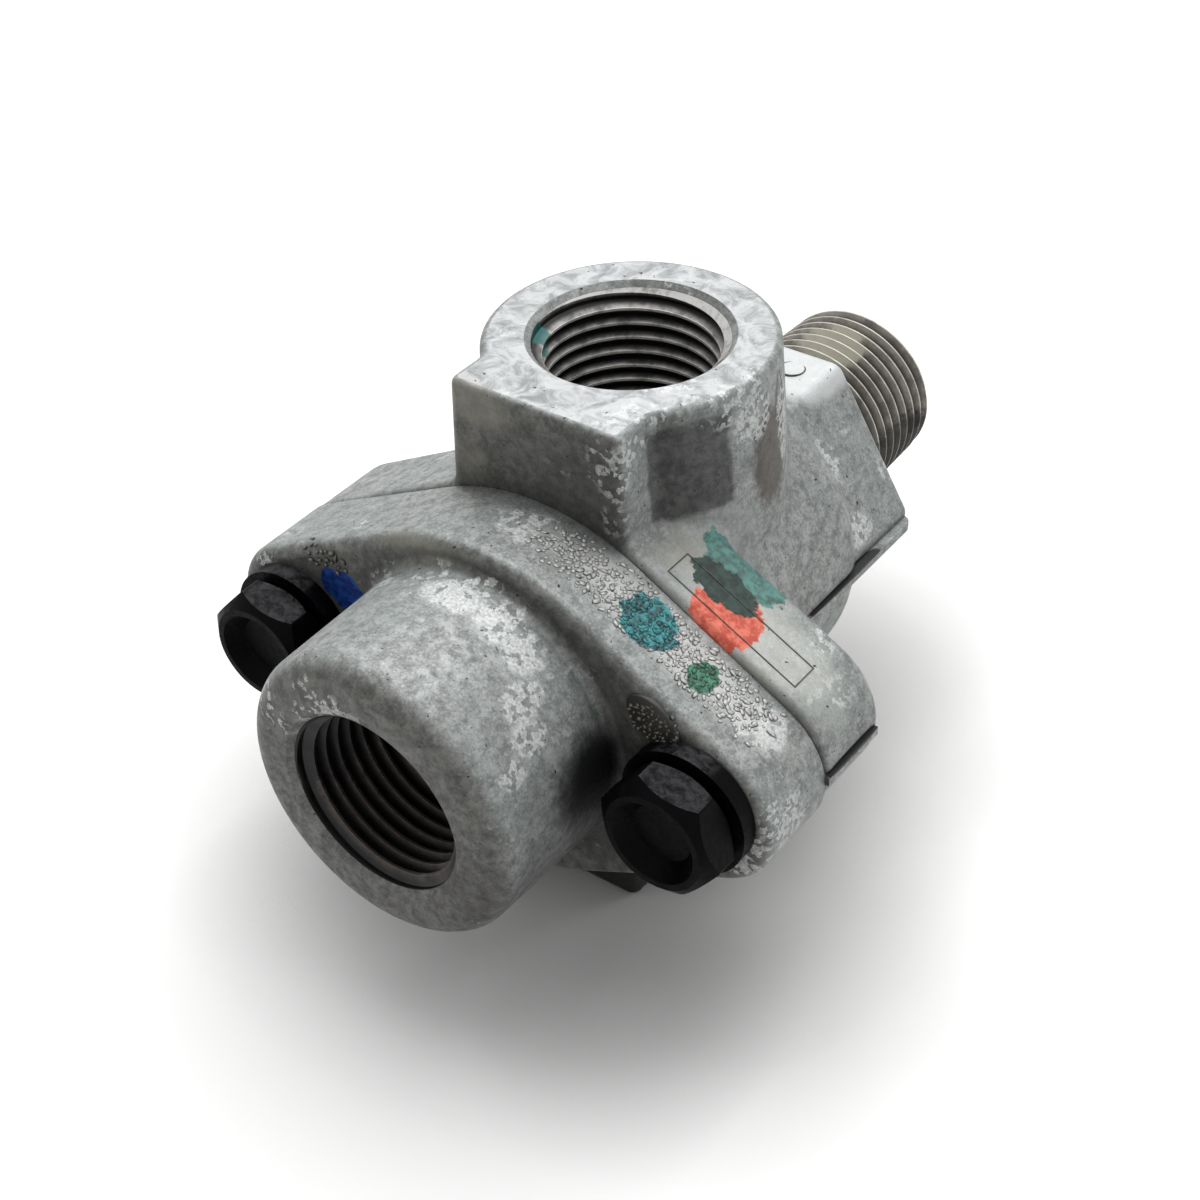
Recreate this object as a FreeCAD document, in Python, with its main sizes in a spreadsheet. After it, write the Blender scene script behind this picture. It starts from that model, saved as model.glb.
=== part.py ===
"""Double non-return valve: two supply ports on one axis, one delivery port on top.

A shuttle slides between two seats. Air from either supply port pushes it onto the other
seat and leaves through the delivery port. Units are millimetres. The origin is the centre
of the foot's underside, +Z is up along the delivery port, the cover's supply port faces -Y
and the nipple faces +Y.
"""
import FreeCAD, Part
import math
import os
import re
import Sketcher

Vector = FreeCAD.Vector
doc = FreeCAD.newDocument("double_non_return_valve")
# The driving dimensions, in millimetres and degrees
sizes = {
    # Where the axes and faces lie
    "axis_height": 25.3,  # main axis above the foot's underside
    "delivery_height": 25.2,  # delivery face above the main axis
    "joint_distance": 13.9,  # joint face in front of the delivery axis
    "nipple_end": 38.8,  # end of the nipple behind the delivery axis
    "supply_face": 37.3,  # cover's supply face in front of the delivery axis

    # The two-eared flange outline, the same on the body and the cover
    "screw_spacing": 42.3,  # between the two screws
    "ear_radius": 7.15,  # round end of each ear
    "crown_height": 16.65,  # top of the flange above the main axis
    "crown_radius": 21.0,  # curve of the flange's top and bottom
    "body_flange_thickness": 8.6,  # body's flange
    "cover_flange_thickness": 8.4,  # cover's flange
    "cover_drop": 0.45,  # how far the cover's casting sits low on the body
    "cover_turn": 1.6,  # how far the cover's casting is turned, degrees
    "body_rim_round": 0.9,  # rounded rear rim of the body's flange
    "cover_rim_round": 1.2,  # rounded front rim of the cover's flange

    # Chamber, hexagon and nipple of the body
    "chamber_outer_radius": 16.1,  # outside of the chamber
    "chamber_end": 14.3,  # rear end of the chamber behind the delivery axis
    "chamber_round": 4.5,  # rounded rear shoulder of the chamber
    "hex_across_flats": 27.4,  # wrench hexagon
    "hex_corner_radius": 1.5,  # rounded corners of the hexagon
    "hex_end": 21.5,  # rear face of the hexagon behind the delivery axis
    "hex_edge_round": 0.6,  # rounded rear edge of the hexagon
    "nipple_radius": 7.3,  # nipple under its thread
    "nipple_bevel": 0.6,  # outer bevel at the nipple's end
    "bore_bevel": 0.4,  # inner bevel at the nipple's end

    # Flash of the casting: the lower half of its mould left a thin ledge all round
    "flash_width": 0.35,  # how far the ledge stands out of the sides
    "flash_thickness": 0.8,  # ledge, top to bottom
    "flash_drop": 0.15,  # top of the ledge below the main axis
    "flash_setback": 0.5,  # end of the ledge ahead of the hexagon's rear face
    "flash_corner_radius": 1.1,  # rounded rear corners of the ledge

    # Delivery boss and the foot, which has the same plan
    "boss_radius": 12.7,  # round rear of the boss
    "boss_half_width": 8.6,  # half the boss's square front
    "boss_front_stock": 1.0,  # stock milled off the front of the boss
    "boss_corner_radius": 1.0,  # rounded upright corners of the boss at the joint face
    "boss_draft": 3.0,  # mould draft of the boss, degrees
    "boss_edge_round": 0.7,  # rounded edge of the delivery face
    "foot_edge_round": 0.6,  # rounded edge of the foot
    "boss_root_round": 1.8,  # hollow where the boss meets the casting

    # Female pipe ports, with their thread left plain
    "port_radius": 8.5,  # wall of a tapped port at its thread root
    "port_thread_length": 12.0,  # tapped length of a port
    "port_countersink": 0.5,  # bevel at a port's mouth
    "port_core_radius": 7.2,  # cored hole below the thread
    "port_core_length": 2.4,  # cored hole below the thread, along the axis
    "supply_way_radius": 5.4,  # supply way through each seat and the nipple
    "delivery_way_radius": 6.4,  # way from the chamber to the delivery port

    # Cover boss and spigot
    "cover_boss_radius": 13.5,  # cover's boss at its front
    "cover_boss_root_radius": 13.75,  # cover's boss at its root
    "cover_boss_round": 2.4,  # rounded front edge of the cover's boss
    "cover_boss_root_round": 1.0,  # hollow where the boss meets the flange
    "spigot_radius": 12.9,  # cover's spigot in the body
    "spigot_clearance": 0.1,  # around the spigot and at its end
    "gland_depth": 1.2,  # seal groove in the spigot, radially
    "gland_width": 2.4,  # seal groove along the axis
    "gland_setback": 1.3,  # seal groove behind the joint face
    "seal_ring_width": 1.9,  # squeezed seal ring along the axis
    "seal_ring_clearance": 0.02,  # either side of the squeezed seal ring

    # Seats, shuttle and the cage that guides it
    "seat_span": 15.6,  # between the two seats
    "seat_rib_height": 1.0,  # raised seat above its floor
    "seat_rib_width": 1.3,  # raised seat, radially
    "cage_outer_radius": 11.5,  # outside of the shuttle's guide cage
    "cage_clearance": 0.1,  # around the cage and at one end
    "cage_ring_width": 1.6,  # end rings of the cage along the axis
    "cage_bars": 6,  # bars of the cage
    "cage_bar_width": 2.2,  # each bar across
    "shuttle_radius": 8.0,  # shuttle's running surface
    "running_clearance": 0.06,  # between the shuttle and the cage, radially
    "shuttle_travel": 4.6,  # from seat to seat
    "seat_gap": 0.1,  # left between a seal disc and its seat
    "shuttle_land": 2.6,  # each running band of the shuttle
    "shuttle_waist_radius": 5.6,  # slim middle of the shuttle
    "shuttle_edge_bevel": 0.4,  # bevel on the shuttle's end edges
    "disc_radius": 7.1,  # rubber seal disc
    "disc_thickness": 1.6,  # rubber seal disc
    "disc_stand": 0.25,  # how far a seal disc stands out of the shuttle
    "disc_clearance": 0.05,  # around a seal disc

    # Cap screws and lock washers
    "screw_radius": 3.0,  # screw's shank
    "screw_length": 16.0,  # screw under its head
    "screw_end_bevel": 0.7,  # bevel at the screw's end
    "screw_hole_clearance": 0.35,  # around the screw in the cover
    "tapped_hole_clearance": 0.05,  # around the screw in the body
    "head_across_flats": 10.0,  # screw head
    "head_corner_radius": 0.3,  # corners of the screw head
    "head_height": 4.2,  # screw head
    "head_bevel_angle": 42.0,  # bevel of the head's corners, degrees
    "head_bevel_start": 4.5,  # radius where the head's bevel starts
    "dish_radius": 3.9,  # dished recess in the head
    "dish_floor_radius": 2.7,  # floor of the dished recess
    "dish_depth": 1.5,  # depth of the dished recess
    "washer_outer_radius": 5.9,  # lock washer
    "washer_bore_clearance": 0.1,  # lock washer around the screw
    "washer_thickness": 1.6,  # lock washer, squeezed flat
    "washer_slit_width": 0.9,  # slit through the lock washer
    "washer_slit_slope": 20.0,  # slant of the slit, degrees
    "left_screw_turn": 12.0,  # how far the left screw's head is turned, degrees
    "right_screw_turn": 11.0,  # how far the right screw's head is turned, degrees
    "left_washer_turn": 60.0,  # where the left washer's slit lies, degrees
    "right_washer_turn": 120.0,  # where the right washer's slit lies, degrees
}

sheet = doc.addObject("Spreadsheet::Sheet", "sizes")
for row, (name, value) in enumerate(sizes.items(), start=1):
    sheet.set("A%d" % row, name)
    sheet.set("B%d" % row, str(value))
    sheet.setAlias("B%d" % row, name)
doc.recompute()

SEAT_FLOOR = "(seat_span / 2 + seat_rib_height)"
SEAT_OUTSIDE = "(supply_way_radius + seat_rib_width)"
SHUTTLE_HALF = "((seat_span - shuttle_travel) / 2 - seat_gap - disc_stand)"
SHUTTLE_REST = "-shuttle_travel / 2"


def bound(text):
    """An expression of the sheet's words, with each word tied to its cell."""
    words = "|".join(sorted(sizes, key=len, reverse=True))
    return re.sub(r"\b(%s)\b" % words, r"sizes.\1", text)


def opposite(text):
    """The same place on the other side of the sketch's axis."""
    return text if text == "0" else "-(%s)" % text


def number(text):
    """The present value of an expression of the sheet's words."""
    value = sheet.evalExpression(re.sub(r"sizes\.", "", bound(text)))
    return float(getattr(value, "Value", value))


def tie(thing, path, text):
    """Binds one property of an object to the sheet."""
    thing.setExpression(path, bound(text))


def new_body(label, across="0", along="0", turn=None):
    """A piece modelled about its own origin, which is then put on the valve's axes."""
    body = doc.addObject("PartDesign::Body", label)
    body.Label = label
    if turn:
        body.Placement = FreeCAD.Placement(Vector(0, 0, 0), FreeCAD.Rotation(Vector(0, 1, 0), 1))
        tie(body, "Placement.Rotation.Angle", turn)
    tie(body, "Placement.Base.x", across)
    tie(body, "Placement.Base.y", along)
    tie(body, "Placement.Base.z", "axis_height")
    return body


def datum(body, role):
    """One of the body's own origin planes or axes."""
    return [part for part in body.Origin.OriginFeatures if part.Role == role][0]


def attach(body, thing, role, offset="0"):
    """Puts a sketch or a primitive on an origin plane, offset along the plane's normal."""
    thing.AttachmentSupport = [(datum(body, role), "")]
    thing.MapMode = "FlatFace"
    tie(thing, "AttachmentOffset.Base.z", offset)


def new_sketch(body, name, role, offset="0"):
    sketch = body.newObject("Sketcher::SketchObject", name)
    attach(body, sketch, role, offset)
    doc.recompute()
    return sketch


def fix_point(sketch, curve, end, across, along):
    """Holds one point of a curve at a place given by two expressions."""
    for kind, text, axis in (("DistanceX", across, -2), ("DistanceY", along, -1)):
        if text == "0":
            sketch.addConstraint(Sketcher.Constraint("PointOnObject", curve, end, axis))
            continue
        rule = Sketcher.Constraint(kind, -1, 1, curve, end, number(text))
        place = sketch.addConstraint(rule)
        name = "%s_%d" % (kind, place)
        sketch.renameConstraint(place, name)
        tie(sketch, "Constraints." + name, text)


def fix_measure(sketch, kind, curve, text):
    """Holds a radius to an expression."""
    place = sketch.addConstraint(Sketcher.Constraint(kind, curve, number(text)))
    name = "%s_%d" % (kind, place)
    sketch.renameConstraint(place, name)
    tie(sketch, "Constraints." + name, text)


def closed_profile(sketch, corners):
    """A closed outline of straight edges whose corners are pairs of expressions."""
    points = [Vector(number(x), number(y), 0) for x, y in corners]
    first = sketch.GeometryCount
    for start, finish in zip(points, points[1:] + points[:1]):
        sketch.addGeometry(Part.LineSegment(start, finish), False)
    for step, (x, y) in enumerate(corners):
        following = first + (step + 1) % len(corners)
        sketch.addConstraint(Sketcher.Constraint("Coincident", first + step, 2, following, 1))
        fix_point(sketch, first + step, 1, x, y)


def ring_profile(body, name, inner, outer, start, finish):
    """A rectangle beside the main axis: radii up the sheet, places along Y."""
    sketch = new_sketch(body, name, "YZ_Plane")
    closed_profile(sketch, [(start, inner), (finish, inner), (finish, outer), (start, outer)])
    return sketch


def pad(body, name, sketch, length, backwards=False):
    feature = body.newObject("PartDesign::Pad", name)
    feature.Profile = sketch
    tie(feature, "Length", length)
    feature.Reversed = backwards
    doc.recompute()
    return feature


def turned(body, name, sketch, cut=False, upright=False):
    """A full turn about the sketch's own level axis, or its upright one."""
    kind = "PartDesign::Groove" if cut else "PartDesign::Revolution"
    before = body.Shape.Volume if body.Tip else 0
    feature = body.newObject(kind, name)
    feature.Profile = sketch
    feature.ReferenceAxis = (sketch, ["V_Axis" if upright else "H_Axis"])
    feature.Angle = 360
    doc.recompute()
    if cut and not body.Shape.Volume < before:
        raise ValueError(name + " cuts nothing")
    return feature


def cylinder(body, name, radius, start, finish, across="0", cut=False):
    """A round bar along Y between two places, or the hole that it would leave."""
    kind = "PartDesign::SubtractiveCylinder" if cut else "PartDesign::AdditiveCylinder"
    before = body.Shape.Volume if body.Tip else 0
    feature = body.newObject(kind, name)
    attach(body, feature, "XZ_Plane", "-(%s)" % finish)
    tie(feature, "AttachmentOffset.Base.x", across)
    tie(feature, "Radius", radius)
    tie(feature, "Height", "(%s) - (%s)" % (finish, start))
    doc.recompute()
    if cut and not body.Shape.Volume < before:
        raise ValueError(name + " cuts nothing")
    return feature


def edges_where(feature, chosen):
    """Names of the edges that a test picks out."""
    return ["Edge%d" % (place + 1) for place, edge in enumerate(feature.Shape.Edges) if chosen(edge)]


def rounded(body, name, chosen, radius):
    """Rounds the edges of the body's last feature that a test picks out."""
    base = body.Tip
    names = edges_where(base, chosen)
    if not names:
        raise ValueError(name + " finds no edge")
    feature = body.newObject("PartDesign::Fillet", name)
    feature.Base = (base, names)
    tie(feature, "Radius", radius)
    doc.recompute()
    return feature


def bevelled(body, name, chosen, measure):
    """Bevels the edges of the body's last feature that a test picks out."""
    base = body.Tip
    names = edges_where(base, chosen)
    if not names:
        raise ValueError(name + " finds no edge")
    feature = body.newObject("PartDesign::Chamfer", name)
    feature.Base = (base, names)
    tie(feature, "Size", measure)
    doc.recompute()
    return feature


def one_of(edge, chosen):
    """True for an edge that is in a list picked out before."""
    return any(edge.isSame(other) for other in chosen)


def lies_at(edge, axis, place):
    """True for an edge that lies whole in the plane where X, Y or Z has one value."""
    low = getattr(edge.BoundBox, axis + "Min")
    high = getattr(edge.BoundBox, axis + "Max")
    return abs(low - place) < 0.01 and abs(high - place) < 0.01


def round_edge_at(radius, along):
    """A test for a whole circle about the main axis, of one radius at one place."""
    def chosen(edge):
        whole = abs(edge.Length - 2 * math.pi * radius) < 0.01
        return whole and lies_at(edge, "Y", along)
    return chosen


def upright_corner(edge):
    """True for a corner between the joint face and a side of the boss or the foot."""
    box = edge.BoundBox
    beyond_flange = abs(edge.CenterOfMass.z) > number("crown_height")
    at_joint = lies_at(edge, "Y", -number("joint_distance"))
    return at_joint and beyond_flange and box.ZLength > 4 * box.XLength


def flange_outline(sketch):
    """Two round ears and two shallow crowns, joined by straight flanks that touch them."""
    half = number("screw_spacing / 2")
    ear = number("ear_radius")
    crown = number("crown_radius")
    dip = number("crown_height - crown_radius")
    reach = math.hypot(half, dip)
    lean = math.atan2(-dip, half) + math.acos((crown - ear) / reach)
    up = Vector(0, 0, 1)

    def arc(centre, radius, start, finish):
        return Part.ArcOfCircle(Part.Circle(Vector(*centre, 0), up, radius), start, finish)

    arcs = [arc((half, 0), ear, -lean, lean),
            arc((0, dip), crown, lean, math.pi - lean),
            arc((-half, 0), ear, math.pi - lean, math.pi + lean),
            arc((0, -dip), crown, math.pi + lean, 2 * math.pi - lean)]
    for curve, following in zip(arcs, arcs[1:] + arcs[:1]):
        sketch.addGeometry(curve, False)
        sketch.addGeometry(Part.LineSegment(curve.EndPoint, following.StartPoint), False)
    for curve in range(8):
        sketch.addConstraint(Sketcher.Constraint("Tangent", curve, 2, (curve + 1) % 8, 1))
    right_ear, top, left_ear, bottom = 0, 2, 4, 6
    fix_measure(sketch, "Radius", right_ear, "ear_radius")
    fix_measure(sketch, "Radius", top, "crown_radius")
    sketch.addConstraint(Sketcher.Constraint("Equal", right_ear, left_ear))
    sketch.addConstraint(Sketcher.Constraint("Equal", top, bottom))
    fix_point(sketch, right_ear, 3, "screw_spacing / 2", "0")
    fix_point(sketch, left_ear, 3, "-screw_spacing / 2", "0")
    fix_point(sketch, top, 3, "0", "crown_height - crown_radius")
    fix_point(sketch, bottom, 3, "0", "crown_radius - crown_height")


def boss_outline(sketch):
    """Square front ahead of the joint face, round rear about the delivery axis."""
    front = "-(joint_distance + boss_front_stock)"
    side = "boss_half_width"
    wide = number(side)
    far = number(front)
    radius = number("boss_radius")
    join = -math.sqrt(radius ** 2 - wide ** 2)
    meet = math.atan2(join, wide)
    up = Vector(0, 0, 1)
    corners = [Vector(-wide, join, 0), Vector(-wide, far, 0), Vector(wide, far, 0), Vector(wide, join, 0)]
    for start, finish in zip(corners, corners[1:]):
        sketch.addGeometry(Part.LineSegment(start, finish), False)
    rear = Part.ArcOfCircle(Part.Circle(Vector(0, 0, 0), up, radius), meet, math.pi - meet)
    sketch.addGeometry(rear, False)
    left_side, front_side, right_side, round_rear = 0, 1, 2, 3
    for curve in range(4):
        sketch.addConstraint(Sketcher.Constraint("Coincident", curve, 2, (curve + 1) % 4, 1))
    sketch.addConstraint(Sketcher.Constraint("Vertical", left_side))
    sketch.addConstraint(Sketcher.Constraint("Vertical", right_side))
    fix_measure(sketch, "Radius", round_rear, "boss_radius")
    fix_point(sketch, round_rear, 3, "0", "0")
    fix_point(sketch, front_side, 1, opposite(side), front)
    fix_point(sketch, front_side, 2, side, front)


def hexagon_outline(sketch, across_flats, corner_radius):
    """A hexagon with flats above and below and evenly rounded corners."""
    apothem = number(across_flats + " / 2")
    bend = number(corner_radius)
    up = Vector(0, 0, 1)
    reach = (apothem - bend) / math.cos(math.pi / 6)
    arcs = []
    for turn in range(6):
        middle = turn * math.pi / 3
        centre = Vector(reach * math.cos(middle), reach * math.sin(middle), 0)
        circle = Part.Circle(centre, up, bend)
        arcs.append(Part.ArcOfCircle(circle, middle - math.pi / 6, middle + math.pi / 6))
    for curve, following in zip(arcs, arcs[1:] + arcs[:1]):
        sketch.addGeometry(curve, False)
        sketch.addGeometry(Part.LineSegment(curve.EndPoint, following.StartPoint), False)
    for curve in range(12):
        sketch.addConstraint(Sketcher.Constraint("Tangent", curve, 2, (curve + 1) % 12, 1))
    for turn in range(6):
        fix_measure(sketch, "Radius", turn * 2, corner_radius)
    centre_reach = "(%s / 2 - %s) / cos(30)" % (across_flats, corner_radius)
    for turn in range(6):
        across = "%s * cos(%d)" % (centre_reach, turn * 60)
        along = "%s * sin(%d)" % (centre_reach, turn * 60) if turn % 3 else "0"
        fix_point(sketch, turn * 2, 3, across, along)


def drafted_boss(body, name, height, upward):
    """A boss of the common plan that widens towards the main axis with the mould's draft."""
    sketch = new_sketch(body, name + "_outline", "XY_Plane", height if upward else "-" + height)
    boss_outline(sketch)
    feature = pad(body, name, sketch, height, backwards=upward)
    tie(feature, "TaperAngle", "boss_draft")
    doc.recompute()
    return feature


def port_steps(face, floor, way):
    """Half section of a tapped port as radius and height: bevel, thread wall, core and way."""
    thread_end = "(%s - port_thread_length)" % face
    core_end = "(%s - port_core_length)" % thread_end
    return [("0", face),
            ("port_radius + port_countersink", face),
            ("port_radius", "%s - port_countersink" % face),
            ("port_radius", thread_end),
            ("port_core_radius", "%s - port_radius + port_core_radius" % thread_end),
            ("port_core_radius", core_end),
            (way, "%s - port_core_radius + %s" % (core_end, way)),
            (way, floor),
            ("0", floor)]


def normal_at(face, point):
    """Outward direction of a face beside one of its points."""
    return face.normalAt(*face.Surface.parameter(point))


def corner_kind(shape, edge):
    """Whether the faces beside an edge meet smoothly, in an inside or in an outside corner."""
    beside = [face for face in shape.Faces if any(edge.isSame(other) for other in face.Edges)]
    if len(beside) != 2:
        return "seam"
    middle = (edge.FirstParameter + edge.LastParameter) / 2
    point = edge.valueAt(middle)
    first, second = [normal_at(face, point) for face in beside]
    if abs(first.dot(second)) > 0.995:
        return "smooth"
    inward = first.cross(edge.tangentAt(middle))
    probe = Part.Vertex(point + inward * 0.05)
    if beside[0].distToShape(probe)[0] > 0.02:
        inward = inward * -1
    return "inside" if second.dot(inward) > 0 else "outside"


def screw_holes(body, radius, start, finish):
    """One hole through each ear."""
    for side, across in (("left", "-screw_spacing / 2"), ("right", "screw_spacing / 2")):
        cylinder(body, "screw_hole_" + side, radius, start, finish, across, cut=True)


def parting_flash(body):
    """The ledge that the mould's parting left round the flange, the chamber and the hexagon."""
    outline = new_sketch(body, "flash_outline", "XY_Plane", "-flash_drop")
    ear_side = "screw_spacing / 2 + ear_radius + flash_width"
    chamber_side = "chamber_outer_radius + flash_width"
    flange_rear = "body_flange_thickness - body_rim_round - joint_distance"
    end = "hex_end - flash_setback"
    half = [(ear_side, "-joint_distance"),
            (ear_side, flange_rear),
            (chamber_side, flange_rear),
            (chamber_side, end)]
    other_half = [(opposite(across), along) for across, along in reversed(half)]
    closed_profile(outline, half + other_half)
    pad(body, "flash", outline, "flash_thickness", backwards=True)
    rear = number(end)
    side = number(chamber_side)

    def rear_corner(edge):
        return lies_at(edge, "Y", rear) and (lies_at(edge, "X", side) or lies_at(edge, "X", -side))
    rounded(body, "flash_corners", rear_corner, "flash_corner_radius")


def make_body():
    """The main casting: flange, chamber, hexagon, nipple, delivery boss and foot."""
    body = new_body("valve_body")
    outline = new_sketch(body, "body_flange_outline", "XZ_Plane", "joint_distance")
    flange_outline(outline)
    pad(body, "body_flange", outline, "body_flange_thickness", backwards=True)
    rear = number("body_flange_thickness - joint_distance")
    rounded(body, "body_flange_rim", lambda edge: lies_at(edge, "Y", rear), "body_rim_round")

    cylinder(body, "chamber", "chamber_outer_radius", "-joint_distance", "chamber_end")
    shoulder = round_edge_at(number("chamber_outer_radius"), number("chamber_end"))
    rounded(body, "chamber_shoulder", shoulder, "chamber_round")
    drafted_boss(body, "delivery_boss", "delivery_height", True)
    drafted_boss(body, "foot_boss", "axis_height", False)

    mill = body.newObject("PartDesign::SubtractiveBox", "milled_joint_face")
    attach(body, mill, "XZ_Plane", "joint_distance")
    tie(mill, "AttachmentOffset.Base.x", "-screw_spacing")
    tie(mill, "AttachmentOffset.Base.y", "-2 * axis_height")
    tie(mill, "Length", "2 * screw_spacing")
    tie(mill, "Width", "4 * axis_height")
    tie(mill, "Height", "boss_radius")
    doc.recompute()
    casting = body.Tip.Shape
    hollows = [edge for edge in casting.Edges if corner_kind(casting, edge) == "inside"]
    rounded(body, "casting_hollows", lambda edge: one_of(edge, hollows), "boss_root_round")
    rounded(body, "boss_front_corners", upright_corner, "boss_corner_radius")
    top = number("delivery_height")
    rounded(body, "delivery_face_edge", lambda edge: lies_at(edge, "Z", top), "boss_edge_round")
    floor = -number("axis_height")
    rounded(body, "foot_edge", lambda edge: lies_at(edge, "Z", floor), "foot_edge_round")

    hexagon = new_sketch(body, "hexagon_outline", "XZ_Plane", "-hex_end")
    hexagon_outline(hexagon, "hex_across_flats", "hex_corner_radius")
    pad(body, "hexagon", hexagon, "hex_end")
    hex_rear = number("hex_end")
    rounded(body, "hexagon_rear_edge", lambda edge: lies_at(edge, "Y", hex_rear), "hex_edge_round")
    cylinder(body, "nipple", "nipple_radius", "chamber_end", "nipple_end")
    bevelled(body, "nipple_bevel", round_edge_at(number("nipple_radius"), number("nipple_end")),
             "nipple_bevel")
    parting_flash(body)

    cavity = new_sketch(body, "cavity_section", "YZ_Plane")
    spigot_bore = "spigot_radius + spigot_clearance"
    spigot_step = "spigot_clearance - %s" % SEAT_FLOOR
    cage_bore = "cage_outer_radius + cage_clearance"
    closed_profile(cavity, [("-joint_distance", "0"),
                            ("-joint_distance", spigot_bore),
                            (spigot_step, spigot_bore),
                            (spigot_step, cage_bore),
                            (SEAT_FLOOR, cage_bore),
                            (SEAT_FLOOR, SEAT_OUTSIDE),
                            ("seat_span / 2", SEAT_OUTSIDE),
                            ("seat_span / 2", "supply_way_radius"),
                            ("nipple_end - bore_bevel", "supply_way_radius"),
                            ("nipple_end", "supply_way_radius + bore_bevel"),
                            ("nipple_end", "0")])
    turned(body, "cavity", cavity, cut=True)
    port = new_sketch(body, "delivery_port_section", "XZ_Plane")
    closed_profile(port, port_steps("delivery_height", "0", "delivery_way_radius"))
    turned(body, "delivery_port", port, cut=True, upright=True)
    screw_holes(body, "screw_radius + tapped_hole_clearance",
                "-joint_distance", "body_flange_thickness - joint_distance")
    return body


def make_cover():
    """The front casting: flange, boss with its supply port, spigot with a seal groove."""
    body = new_body("cover")
    outline = new_sketch(body, "cover_flange_outline", "XZ_Plane", "joint_distance")
    flange_outline(outline)
    tie(outline, "AttachmentOffset.Base.y", "-cover_drop")
    tie(outline, "AttachmentOffset.Rotation.Angle", "-cover_turn")
    pad(body, "cover_flange", outline, "cover_flange_thickness")
    front = number("-joint_distance - cover_flange_thickness")
    rounded(body, "cover_flange_rim", lambda edge: lies_at(edge, "Y", front), "cover_rim_round")

    boss = new_sketch(body, "cover_boss_section", "YZ_Plane")
    flange_front = "-joint_distance - cover_flange_thickness"
    closed_profile(boss, [("-supply_face", "0"),
                          ("-supply_face", "cover_boss_radius"),
                          (flange_front, "cover_boss_root_radius"),
                          ("-joint_distance", "cover_boss_root_radius"),
                          ("-joint_distance", "0")])
    turned(body, "cover_boss", boss)
    mouth = round_edge_at(number("cover_boss_radius"), number("-supply_face"))
    rounded(body, "cover_boss_edge", mouth, "cover_boss_round")
    root = round_edge_at(number("cover_boss_root_radius"), front)
    rounded(body, "cover_boss_root", root, "cover_boss_root_round")

    spigot = new_sketch(body, "spigot_section", "YZ_Plane")
    groove_front = "gland_setback - joint_distance"
    groove_rear = "gland_setback + gland_width - joint_distance"
    groove_floor = "spigot_radius - gland_depth"
    closed_profile(spigot, [("-joint_distance - cover_flange_thickness / 2", "0"),
                            ("-joint_distance - cover_flange_thickness / 2", "spigot_radius"),
                            (groove_front, "spigot_radius"),
                            (groove_front, groove_floor),
                            (groove_rear, groove_floor),
                            (groove_rear, "spigot_radius"),
                            ("-%s" % SEAT_FLOOR, "spigot_radius"),
                            ("-%s" % SEAT_FLOOR, SEAT_OUTSIDE),
                            ("-seat_span / 2", SEAT_OUTSIDE),
                            ("-seat_span / 2", "0")])
    turned(body, "spigot", spigot)
    port = new_sketch(body, "supply_port_section", "YZ_Plane")
    steps = port_steps("supply_face", "0", "supply_way_radius")
    closed_profile(port, [(opposite(height), radius) for radius, height in steps])
    turned(body, "supply_port", port, cut=True)
    screw_holes(body, "screw_radius + screw_hole_clearance",
                "-joint_distance - cover_flange_thickness", "-joint_distance")
    return body


def make_seal_ring():
    """The rubber ring squeezed between the spigot's groove and the body's bore."""
    body = new_body("cover_seal_ring", along="gland_setback + gland_width / 2 - joint_distance")
    section = new_sketch(body, "seal_ring_section", "YZ_Plane")
    inner = "(spigot_radius - gland_depth + seal_ring_clearance)"
    outer = "(spigot_radius + spigot_clearance - seal_ring_clearance)"
    level = "((%s + %s) / 2)" % (inner, outer)
    bend = "((%s - %s) / 2)" % (outer, inner)
    reach = number("seal_ring_width / 2 - %s" % bend)
    middle = number(level)
    radius = number(bend)
    up = Vector(0, 0, 1)
    front = Part.Circle(Vector(-reach, middle, 0), up, radius)
    rear = Part.Circle(Vector(reach, middle, 0), up, radius)
    corners = [Vector(-reach, middle - radius, 0), Vector(reach, middle - radius, 0),
               Vector(reach, middle + radius, 0), Vector(-reach, middle + radius, 0)]
    section.addGeometry([Part.LineSegment(corners[0], corners[1]),
                         Part.ArcOfCircle(rear, -math.pi / 2, math.pi / 2),
                         Part.LineSegment(corners[2], corners[3]),
                         Part.ArcOfCircle(front, math.pi / 2, 1.5 * math.pi)], False)
    for curve in range(4):
        section.addConstraint(Sketcher.Constraint("Tangent", curve, 2, (curve + 1) % 4, 1))
    section.addConstraint(Sketcher.Constraint("Horizontal", 0))
    fix_measure(section, "Radius", 1, bend)
    fix_point(section, 1, 3, "seal_ring_width / 2 - %s" % bend, level)
    fix_point(section, 3, 3, "%s - seal_ring_width / 2" % bend, level)
    turned(body, "seal_ring", section)
    return body


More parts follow.
